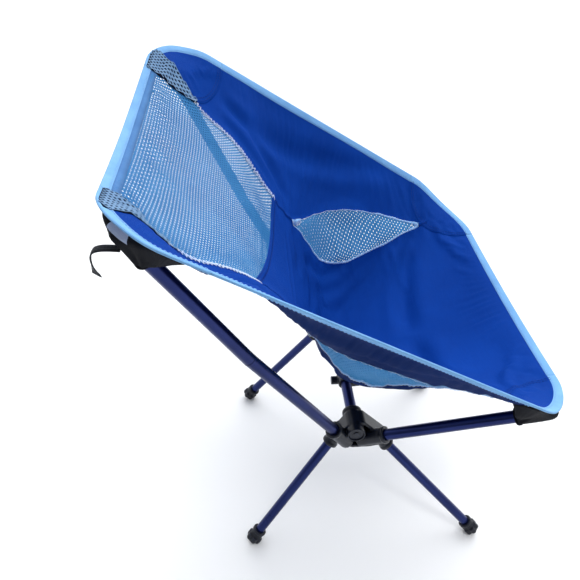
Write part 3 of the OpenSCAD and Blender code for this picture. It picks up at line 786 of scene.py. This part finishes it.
def rounded(name, node, body, material, voxel, rounds):
    """Copy of a moulded CAD part with its edges rounded off."""
    source = frame["nodes"][node]
    obj = bpy.data.objects.new(name, source.data.copy())
    SCENE.collection.objects.link(obj)
    remesh = obj.modifiers.new("remesh", "REMESH")
    remesh.mode = "VOXEL"
    remesh.voxel_size = voxel
    soft = obj.modifiers.new("soft", "SMOOTH")
    soft.factor = 0.5
    soft.iterations = rounds
    evaluated = obj.evaluated_get(bpy.context.evaluated_depsgraph_get())
    mesh = bpy.data.meshes.new_from_object(evaluated)
    obj.modifiers.clear()
    obj.data = mesh
    mesh.materials.clear()
    mesh.materials.append(material)
    mesh.polygons.foreach_set("use_smooth", [True] * len(mesh.polygons))
    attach(obj, body)
    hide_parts(node)
    return obj


for side in SIDES:
    rounded(f"moulded_hub_{side}", f"hub_{side}", f"{side}_frame", HUB, 0.0008, 9)
    for end in ("rear", "front"):
        foot = f"{end}_foot_{side}"
        rounded(f"rubber_{foot}", foot, f"leg_{end}_{side}", RUBBER, 0.0005, 4)
rounded("moulded_centre_fitting", "centre_fitting", "left_frame", HUB, 0.0006, 6)


# ---- The sling's panels ----

def across_frames(obj):
    """Fabric that crosses the middle between the two frames; its transform is baked into its mesh."""
    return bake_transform(obj)


def on_frame(obj, side):
    """Fabric that stays with one frame half."""
    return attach(obj, f"{side}_frame")


def corner_reach(d, r):
    """How far a circle of radius r about the corner reaches in, at a distance d from the end edge."""
    return np.where(d >= r, 0, np.sqrt(np.maximum(0, r * r - d * d)))


def panel_limit(v):
    """Sideways limit of the panels: under the binding, and a little under the corner pieces."""
    overlap = 0.003
    reach = np.maximum(corner_reach(v * LENGTH, PATCH_FRONT - overlap),
                       corner_reach((1 - v) * LENGTH, PATCH_BACK - overlap))
    return half_width(v) - np.maximum(0.002, reach)


EDGE_V = 0.002 / LENGTH
# Spacing of the nets' yarn crossings, and the openings as shares of their cells
BACK_CELL, BACK_HOLE = 0.0027, 0.54
HIP_CELL, HIP_HOLE = 0.0026, 0.32
CORNER_CELL, CORNER_HOLE = 0.0034, 0.60


def rows(v0, v1, step=0.0026):
    """Evenly spaced v from v0 to v1."""
    return np.linspace(v0, v1, int((v1 - v0) * LENGTH / step) + 1)


def hem_v(x):
    """Where the back mesh begins: its hem hangs a little askew."""
    return MESH_V0 - HEM_SKEW * x


def seat_limit(v, lean, sign):
    """Seam of the seat on one side, where the rows lean with the hem."""
    reach = hip_low_half(v)
    for _ in range(6):
        w = v - HEM_SKEW * sign * reach * lean
        reach = rear_seam_half(w)
    return np.minimum(reach, panel_limit(v))


# The seat's rows lean from this v on, to end at the askew hem
LEAN_V0 = 0.61
v = rows(EDGE_V, MESH_V0)
lean = np.clip((v - LEAN_V0) / (MESH_V0 - LEAN_V0), 0, 1) ** 2
x, vv = span(v, -seat_limit(v, lean, -1), seat_limit(v, lean, 1), 150)
seat = slab("seat_panel", x, vv - HEM_SKEW * x * lean[:, None], FABRIC_T, BLUE)
across_frames(seat)
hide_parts("seat_panel_left", "seat_panel_right")


def lattice(x0, x1, v0, v1, cell):
    """Even grid of parameters with the given spacing."""
    x, v = np.meshgrid(np.arange(x0, x1, cell), rows(v0, v1, cell))
    return x, v


x, vv = lattice(-0.262, 0.262, MESH_V0 - 0.04, 1 - EDGE_V, BACK_CELL)
inside = (np.abs(x) < np.minimum(seam_half(vv), panel_limit(vv))) & (vv > hem_v(x) - 0.003)
back = net("back_net_panel", x, vv, inside, 0.0005, BACK_HOLE, NET)
across_frames(back)
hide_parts("back_mesh_left", "back_mesh_right")

for side, sign in SIDES.items():
    v = rows(0.05, 0.98)
    seam = np.where(v < HIP_END, hip_high_half(v), seam_half(v))
    inner = np.minimum(seam, panel_limit(v) - 0.0005)
    x, vv = span(v, inner, panel_limit(v), 48)
    panel = slab(f"side_panel_{side}_cloth", x * sign, vv, FABRIC_T, BLUE)
    on_frame(panel, side)
    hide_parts(f"side_panel_{side}")
    x, vv = lattice(0.118, 0.222, HIP_V0 - 0.01, HIP_V1 + 0.01, HIP_CELL)
    inside = (x > hip_low_half(vv)) & (x < hip_high_half(vv))
    lens = net(f"hip_net_{side}", x * sign, vv, inside, 0.0007, HIP_HOLE, HIP_NET)
    on_frame(lens, side)
    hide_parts(f"hip_mesh_{side}")


# ---- Seams ----

def table_path(function, v0, v1, sign, count=90):
    """Parameter path (x, s) along a seam whose half width at v is function(v)."""
    v = np.linspace(v0, v1, count)
    return np.stack([sign * function(v), v * LENGTH], 1)


SEAM_RING = [(-0.0035, 0), (-0.0033, 0.0008), (0, 0.0011), (0.0033, 0.0008), (0.0035, 0), (0.0033, -0.0008),
             (0, -0.0011), (-0.0033, -0.0008)]
for side, sign in SIDES.items():
    corner_v = hem_v(sign * 0.133)
    selvage = table_path(seam_half, corner_v, 0.912, sign)
    for k, reach in enumerate((0.0042, 0.0026)):
        obj = zigzag(f"overlock_{side}_{k}", selvage, reach, 0.0021 + 0.0006 * k, 0.0012, WHITE_THREAD)
        on_frame(obj, side)
    seams = (
        ("front_seam", hip_low_half, 0.105, HIP_V0),
        ("rear_seam", rear_seam_half, HIP_V1, corner_v),
        ("hip_low", hip_low_half, HIP_V0, HIP_V1),
        ("hip_high", hip_high_half, HIP_V0, HIP_V1),
    )
    for label, function, v0, v1 in seams:
        path = table_path(function, v0, v1, sign)
        material = BLUE if "seam" in label else SKY_THREAD
        ring = SEAM_RING if "seam" in label else [(a * 0.6, b * 0.9) for a, b in SEAM_RING]
        on_frame(sweep(f"{label}_{side}", path, ring, material), side)
        if "hip" in label:
            edge = zigzag(f"{label}_thread_{side}", path, 0.0022, 0.0026, 0.0013, WHITE_THREAD, 0.00035)
        else:
            edge = stitches(f"{label}_thread_{side}", [stitch_row(path, 0.002, 0.0013)], BLUE_THREAD)
        on_frame(edge, side)

hem_x = np.linspace(-0.143, 0.129, 80)
hem = np.stack([hem_x, hem_v(hem_x) * LENGTH], 1)
across_frames(sweep("back_net_hem", hem, [(a * 1.3, b) for a, b in SEAM_RING], BLUE))
hem_rows = [stitch_row(hem, offset, 0.0013) for offset in (-0.003, 0.003)]
across_frames(stitches("back_net_hem_thread", hem_rows, BLUE_THREAD))


# ---- Edge binding ----

def end_arc(end, count=26):
    """Outline round the left corner at an end, from the end edge to the side edge, as (x, s)."""
    r = CORNERS[end][1]
    phi = np.radians(np.linspace(90, 0, count))
    d_side, d_end = r - r * np.cos(phi), r - r * np.sin(phi)
    s = d_end if end == "front" else LENGTH - d_end
    return np.stack([half_width(s / LENGTH) - d_side, s], 1)


def corner_path(end, sign):
    """Outline of a corner piece from the end edge to the side edge."""
    r = CORNERS[end][2]
    s_end = 0.0 if end == "front" else LENGTH
    s_side = r if end == "front" else LENGTH - r
    first = [(half_width(s_end / LENGTH) - r, s_end)]
    last = [(half_width(s_side / LENGTH), s_side)]
    path = np.concatenate([first, end_arc(end), last])
    return dense(path * np.array([sign, 1]), 0.004)


TAPE_HALF = [(-0.0006, 0.0011), (0.0010, 0.0016), (0.005, 0.0013), (TAPE_W - 0.001, 0.0013), (TAPE_W, 0.0007)]
TAPE_RING = [(-0.0011, 0)] + TAPE_HALF + [(a, -b) for a, b in TAPE_HALF[::-1]]


def inward(path):
    """+1 if the across direction of a path points into the sling, else -1."""
    p = path[len(path) // 2]
    n = across(path)[len(path) // 2]
    middle = np.array([0, LENGTH / 2])
    return 1 if n @ (middle - p) > 0 else -1


def binding(name, path, widths=(1, 1)):
    """Folded tape over the sling's edge and its stitches."""
    turn = inward(path)
    ring = [(a * turn, b) for a, b in TAPE_RING][::turn]
    band = sweep(name, path, ring, BINDING, widths)
    rows_ = [stitch_row(path, (TAPE_W - 0.003) * turn * np.array(widths), lift) for lift in (0.0015, -0.0015)]
    return band, stitches(f"{name}_thread", rows_, SKY_THREAD)


for side, sign in SIDES.items():
    s = np.linspace(PATCH_FRONT, LENGTH - PATCH_BACK, 130)
    path = np.stack([half_width(s / LENGTH) * sign, s], 1)
    band, thread = binding(f"binding_side_{side}", path)
    on_frame(band, side)
    on_frame(thread, side)
    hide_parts(f"edge_binding_{side}")

for end, s_end, r in (("front", 0.0, PATCH_FRONT), ("back", LENGTH, PATCH_BACK)):
    reach = half_width(s_end / LENGTH) - r
    path = np.stack([np.linspace(-reach, reach, 110), np.full(110, s_end)], 1)
    for obj in binding(f"binding_{end}", path, (END_TAPE, END_TAPE)):
        across_frames(obj)
    if end == "back":
        # A darker blue strip along the inside of the top binding
        near, far = TAPE_W * END_TAPE - 0.001, TAPE_W * END_TAPE + 0.009
        strip = [(near, 0.0008), (far, 0.0008), (far, -0.0008), (near, -0.0008)]
        turn = inward(path)
        dark_strip = sweep("back_dark_strip", path, [(a * turn, b) for a, b in strip], DARK_STRIP)
        across_frames(dark_strip)


# ---- Corner pieces ----

def outline_rho(end, phi):
    """Distance from the square corner to the rounded outline, in the direction phi."""
    both = np.cos(phi) + np.sin(phi)
    return CORNERS[end][1] * (both - np.sqrt(np.maximum(0, both**2 - 1)))


def polar_grid(end, sign, n_phi, n_rho, phi0=0.0, phi1=90.0, outer=0.0):
    """Parameters of a corner piece, from the rounded outline in to its arc."""
    phi = np.radians(np.linspace(phi0, phi1, n_phi))[:, None]
    start = outline_rho(end, phi) + 0.0015
    rho = start + (CORNERS[end][2] - outer - start) * np.linspace(0, 1, n_rho)
    d_side, d_end = np.maximum(rho * np.cos(phi), 0.001), np.maximum(rho * np.sin(phi), 0.001)
    v = parameter_v(end, d_end)
    return (half_width(v) - d_side) * sign, v


def follow_corner(obj):
    """Fabric of a corner; its transform is baked into its mesh."""
    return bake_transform(obj)


def back_patch_arc(v):
    """Half width at the arc where a back corner piece ends."""
    return half_width(v) - corner_reach((1 - v) * LENGTH, PATCH_BACK)


def arc_path(end, sign, inset):
    """Line on a corner piece at a distance inside its arc, as (x, s)."""
    x, v = polar_grid(end, sign, 60, 2, 3, 87, outer=inset)
    return np.stack([x[:, -1], v[:, -1] * LENGTH], 1)


for side, sign in SIDES.items():
    for end in ("front", "back"):
        x, vv = polar_grid(end, sign, 60, 26)
        patch = slab(f"corner_patch_{end}_{side}", x, vv, PATCH_T, BLUE)
        follow_corner(patch)
        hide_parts(f"{end}_corner_{side}")
        rows_ = [stitch_row(arc_path(end, sign, inset), 0, lift)
                 for inset in (0.003, 0.0065) for lift in (0.0011, -0.0011)]
        follow_corner(stitches(f"corner_thread_{end}_{side}", rows_, BLUE_THREAD))
        for obj in binding(f"binding_corner_{end}_{side}", corner_path(end, sign), (END_TAPE, 1)):
            follow_corner(obj)
    # Net over a black lining where the back mesh runs on over the corner piece
    v = rows(0.80, 1 - EDGE_V)
    inner = back_patch_arc(v)
    outer = np.minimum(seam_half(v) + 0.004, outline(v) - 0.003)
    lined = outer > inner + 0.001
    x, vv = span(v[lined], inner[lined], outer[lined], 26)
    lining = slab(f"corner_backing_{side}", x * sign, vv, 0.0006, BACKING, 0.0013)
    follow_corner(lining)
    x, vv = lattice(0.150, 0.284, 0.80, 1 - EDGE_V, CORNER_CELL)
    away, end = half_width(vv) - x, (1 - vv) * LENGTH
    inside = (np.hypot(away, end) < PATCH_BACK) & (x < seam_half(vv) + 0.004) & (x < outline(vv) - 0.003)
    weave = net(f"corner_net_{side}", x * sign, vv, inside, 0.0006, CORNER_HOLE, CORNER_NET, 0.0021)
    follow_corner(weave)
    arc = table_path(back_patch_arc, v[lined][0], 0.995, sign)
    cord = sweep(f"corner_net_edge_{side}", arc, [(a * 0.5, b * 0.8 + 0.0014) for a, b in SEAM_RING], BACKING)
    follow_corner(cord)


# ---- Pole pockets and pull tabs ----

def joint(name):
    return next(j for j in frame["joints"] if j["name"] == name)


POCKET_DEPTH = 0.038
MOUTH_R = 0.0106
CAP_R = 0.0094
POCKET_WALL = 0.0008
POCKET_GAP = 0.0014
# Pole tips seen from their corners
TIP_OFFSET = {"front": np.array([-0.046, 0.018, -0.023]), "back": np.array([-0.0485, -0.012, -0.040])}
# Folded hem round a pocket's mouth, as (outward, along the pole)
MOUTH_HEM = [(0.0008, 0.002), (0.0010, -0.001), (0.0004, -0.0024), (-0.0010, -0.0024), (-0.0014, 0.0)]


def hull_tree(points):
    """Ray-cast tree of the convex hull of some points."""
    bm = bmesh.new()
    for p in points:
        bm.verts.new(p)
    found = bmesh.ops.convex_hull(bm, input=bm.verts)
    loose = [g for g in found["geom_interior"] if isinstance(g, bmesh.types.BMVert)]
    bmesh.ops.delete(bm, geom=loose, context="VERTS")
    tree = BVHTree.FromBMesh(bm)
    bm.free()
    return tree


def under(points, gap):
    """Pushes points that are above the sling, or too close to its underside, down to the gap below."""
    low, high = np.full(len(points), -0.1), np.full(len(points), 1.1)
    for _ in range(30):
        v = (low + high) / 2
        behind = sling(points[:, 0], v)[:, 1] > points[:, 1]
        high = np.where(behind, v, high)
        low = np.where(behind, low, v)
    ceiling = cloth_point(points[:, 0], v, -gap)[:, 2]
    moved = points.copy()
    moved[:, 2] = np.minimum(points[:, 2], ceiling)
    return moved


def pocket_rim(end, sign, half):
    """Ring on the underside of a corner: out along the outline, then back along an arc, half points each."""
    phi = np.radians(np.linspace(4, 86, half))
    rho = np.concatenate([outline_rho(end, phi) + 0.009, np.full(half, 0.084)])
    phi = np.concatenate([phi, phi[::-1]])
    v = parameter_v(end, rho * np.sin(phi))
    return cloth_point((half_width(v) - rho * np.cos(phi)) * sign, v, -POCKET_GAP)


def pocket(end, side):
    """Fabric pouch sewn under a corner: taut over the pole's tip, with a bound mouth round the pole."""
    sign = SIDES[side]
    axis = unit(joint(f"{end}_corner_{side}_slide")["axis"])
    tip = mirrored(CORNERS[end][0] + TIP_OFFSET[end], sign)
    mouth = tip - axis * POCKET_DEPTH
    side_a = unit(np.cross(axis, (0, 0, 1.0)))
    side_b = np.cross(axis, side_a)
    half = 48
    count = 2 * half
    rim = pocket_rim(end, sign, half)
    # Taut shape: the hull of the rim, the pole's tip and the mouth
    turn = np.linspace(0, 2 * math.pi, 32, endpoint=False)
    circle = np.cos(turn)[:, None] * side_a + np.sin(turn)[:, None] * side_b
    tilts = np.radians([-30, 0, 30, 60, 85])
    ball = [tip + (circle * math.cos(tilt) + axis * math.sin(tilt)) * CAP_R for tilt in tilts]
    tree = hull_tree(np.concatenate([rim, mouth + circle * MOUTH_R, *ball]))
    # Rays from the centre turn from the rim to the mouth, and stop at the hull
    up = unit(rim.mean(0) - mouth)
    centre = mouth + (rim.mean(0) - mouth) * 0.5
    flat_a = unit(np.cross(up, (0, 0, 1.0)))
    flat_b = np.cross(up, flat_a)
    rel = rim - centre
    angle = np.unwrap(np.arctan2(rel @ flat_b, rel @ flat_a))
    whole_turn = 2 * math.pi * np.sign(angle[-1] - angle[0])
    even = np.linspace(angle[0], angle[0] + whole_turn, count, endpoint=False)
    angle = angle * 0.4 + even * 0.6
    ring = np.cos(angle)[:, None] * flat_a + np.sin(angle)[:, None] * flat_b
    ring = unit(ring - (ring @ axis)[:, None] * axis)
    low = mouth + ring * MOUTH_R - centre
    steps = 30
    t = np.linspace(0, 1, steps)[:, None]
    aim = unit(unit(rel) * (1 - t[..., None]) + unit(low) * t[..., None])
    reach = np.array([[tree.ray_cast(Vector(centre), Vector(ray))[3] for ray in row] for row in aim[1:-1]])
    reach = np.vstack([np.linalg.norm(rel, axis=1), reach, np.linalg.norm(low, axis=1)])
    rng = np.random.default_rng(11 if end == "back" else 12)
    phase = rng.uniform(0, 6.28, 8)
    wave = sum(np.sin(even * (2 + q) + phase[q] + t * (5 - q)) / (1.3 + 0.5 * q) for q in range(8))
    creased = reach + wave * 0.0011 * np.sin(np.pi * t) ** 0.7
    outer = centre + aim * creased[..., None]
    inner = centre + aim * (creased - POCKET_WALL)[..., None]
    hems = np.array([mouth + axis * along + ring * (MOUTH_R + extra) for extra, along in MOUTH_HEM])
    rings = np.concatenate([outer[:-1], hems, inner[:-1][::-1]])
    rings = under(rings.reshape(-1, 3), POCKET_GAP).reshape(rings.shape)
    n = len(rings)
    i, j = np.meshgrid(np.arange(n), np.arange(count), indexing="ij")
    i, j = i.ravel(), j.ravel()
    k, m = (i + 1) % n, (j + 1) % count
    faces = np.stack([i * count + j, i * count + m, k * count + m, k * count + j], 1)
    uv = np.stack([0.14 * j / count, 0.05 * i / steps], -1)
    obj = make_object(f"pocket_{end}_{side}", rings, faces, BLACK_CLOTH, uv)
    obj.data.materials.append(LILAC)
    lining = (i >= 1) & (i < 8) & (j > half * 0.22) & (j < half * 0.50) & (end == "back")
    obj.data.polygons.foreach_set("material_index", lining.astype(int))
    bm = bmesh.new()
    bm.from_mesh(obj.data)
    bmesh.ops.recalc_face_normals(bm, faces=bm.faces)
    bm.to_mesh(obj.data)
    bm.free()
    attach(obj, f"corner_{end}_{side}")
    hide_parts(f"{end}_pocket_{side}")


TAB_WIDTH = 0.011
TAB_THICKNESS = 0.0014
# Middle line of a tab from its hinge, and its section as shares of half its width and thickness
TAB_PATH = np.array([[0, -0.003, 0.0002], [0, 0.007, 0.0012], [0, 0.015, 0.0014], [0, 0.0215, -0.0004],
                     [0, 0.0245, -0.006], [0, 0.0250, -0.013], [0, 0.0240, -0.020], [0, 0.0225, -0.0265]])
TAB_SECTION = [(-1, -0.3), (-0.96, 0.5), (-0.5, 1), (0, 1), (0.5, 1), (0.96, 0.5), (1, -0.3), (0.96, -0.7),
               (0.5, -1), (0, -1), (-0.5, -1), (-0.96, -0.7)]


def pull_tab(side):
    """Webbing loop end behind a back pocket: it reaches back, bends over and twists as it hangs."""
    sign = SIDES[side]
    root = np.array(joint(f"pull_tab_{side}_hinge")["pos_m"])
    t = np.linspace(0, 1, 44)
    knots = np.linspace(0, 1, len(TAB_PATH))
    line = np.stack([np.interp(t, knots, TAB_PATH[:, k]) for k in range(3)], 1)
    for _ in range(6):
        line[1:-1] = (line[:-2] + 2 * line[1:-1] + line[2:]) / 4
    tangent = unit(np.gradient(line, axis=0))
    twist = np.radians(55) * np.clip((t - 0.5) / 0.5, 0, 1) ** 1.5 * -sign
    flat = np.array([1.0, 0, 0])
    verts = []
    for k in range(len(t)):
        up = np.cross(flat, tangent[k])
        a = flat * math.cos(twist[k]) + up * math.sin(twist[k])
        b = np.cross(a, tangent[k])
        slant = 0.0022 * (t[k] > 0.99)
        for p, q in TAB_SECTION:
            across_it = a * p * TAB_WIDTH / 2 + b * q * TAB_THICKNESS / 2
            verts.append(root + line[k] + across_it - tangent[k] * slant * p)
    m = len(TAB_SECTION)
    uv = [(k * 0.0012, c * 0.0018) for k in range(len(t)) for c in range(m)]
    obj = make_object(f"webbing_tab_{side}", verts, band_faces(len(t), m), WEBBING, uv)
    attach(obj, f"tab_{side}")
    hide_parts(f"pull_tab_{side}")


for side in SIDES:
    for end in ("front", "back"):
        pocket(end, side)
    pull_tab(side)


# ---- Stage, lights and camera ----

FLOOR = 6
floor_mesh = bpy.data.meshes.new("floor")
floor_corners = [(x * FLOOR, y * FLOOR, -0.0005) for x, y in ((-1, -1), (1, -1), (1, 1), (-1, 1))]
floor_mesh.from_pydata(floor_corners, [], [(0, 1, 2, 3)])
floor = bpy.data.objects.new("floor", floor_mesh)
SCENE.collection.objects.link(floor)
pale = Nodes("pale_floor")
speck = pale.noise(pale.coords("Object"), 3, 2)
white = pale.ramp(speck, [(0.3, (0.95, 0.955, 0.96)), (0.7, (0.97, 0.975, 0.98))])
floor_mesh.materials.append(pale.finish(white, 0.9, pale.bump(speck, 0.0001)))

# White for the camera; for shading it is bright overhead and on the sitter's left, and dim on the right
world = bpy.data.worlds.new("studio")
SCENE.world = world
world.use_nodes = True
sky = world.node_tree
place = sky.nodes.new("ShaderNodeTexCoord")
lean = sky.nodes.new("ShaderNodeVectorMath")
lean.operation = "DOT_PRODUCT"
lean.inputs[1].default_value = Vector((0.68, -0.15, 0.72)).normalized()
gradient = sky.nodes.new("ShaderNodeMapRange")
for key, value in (("From Min", -0.4), ("From Max", 0.85), ("To Min", 0.05), ("To Max", 1.45)):
    gradient.inputs[key].default_value = value
seen = sky.nodes.new("ShaderNodeLightPath")
blend = sky.nodes.new("ShaderNodeMix")
blend.inputs[3].default_value = 1.0
sky.links.new(place.outputs["Generated"], lean.inputs[0])
sky.links.new(lean.outputs["Value"], gradient.inputs["Value"])
sky.links.new(seen.outputs["Is Camera Ray"], blend.inputs[0])
sky.links.new(gradient.outputs["Result"], blend.inputs[2])
sky.links.new(blend.outputs[0], sky.nodes["Background"].inputs["Strength"])
sky.nodes["Background"].inputs["Color"].default_value = (0.95, 0.97, 1.0, 1)


def area_light(name, place, target, size, power, colour=(1, 1, 1)):
    data = bpy.data.lights.new(name, "AREA")
    data.energy = power
    data.size = size
    data.color = colour
    obj = bpy.data.objects.new(name, data)
    obj.location = place
    obj.rotation_euler = (Vector(target) - Vector(place)).to_track_quat("-Z", "Y").to_euler()
    SCENE.collection.objects.link(obj)


sun_data = bpy.data.lights.new("sun", "SUN")
sun_data.energy = 1.5
sun_data.angle = math.radians(50)
sun = bpy.data.objects.new("sun", sun_data)
sun.rotation_euler = Vector((-0.8, 0.35, -1.1)).to_track_quat("-Z", "Y").to_euler()
SCENE.collection.objects.link(sun)
area_light("strip", (-0.9, -0.3, 1.9), (0, 0, 0.25), 0.35, 7, (1, 1, 1))

SCENE.view_settings.view_transform = "Standard"

LENS = 616.6 / 580 * 36
camera_data = bpy.data.cameras.new("camera")
camera_data.lens = LENS
camera_data.sensor_width = 36
camera = bpy.data.objects.new("camera", camera_data)
SCENE.collection.objects.link(camera)
look = Vector((0.798, -0.064, -0.600)).normalized()
turn = look.to_track_quat("-Z", "Y").to_matrix() @ Matrix.Rotation(math.radians(0.46), 3, "Z")
camera.matrix_world = Matrix.Translation((-0.697, 0.144 - MID_Y, 0.898)) @ turn.to_4x4()
SCENE.camera = camera
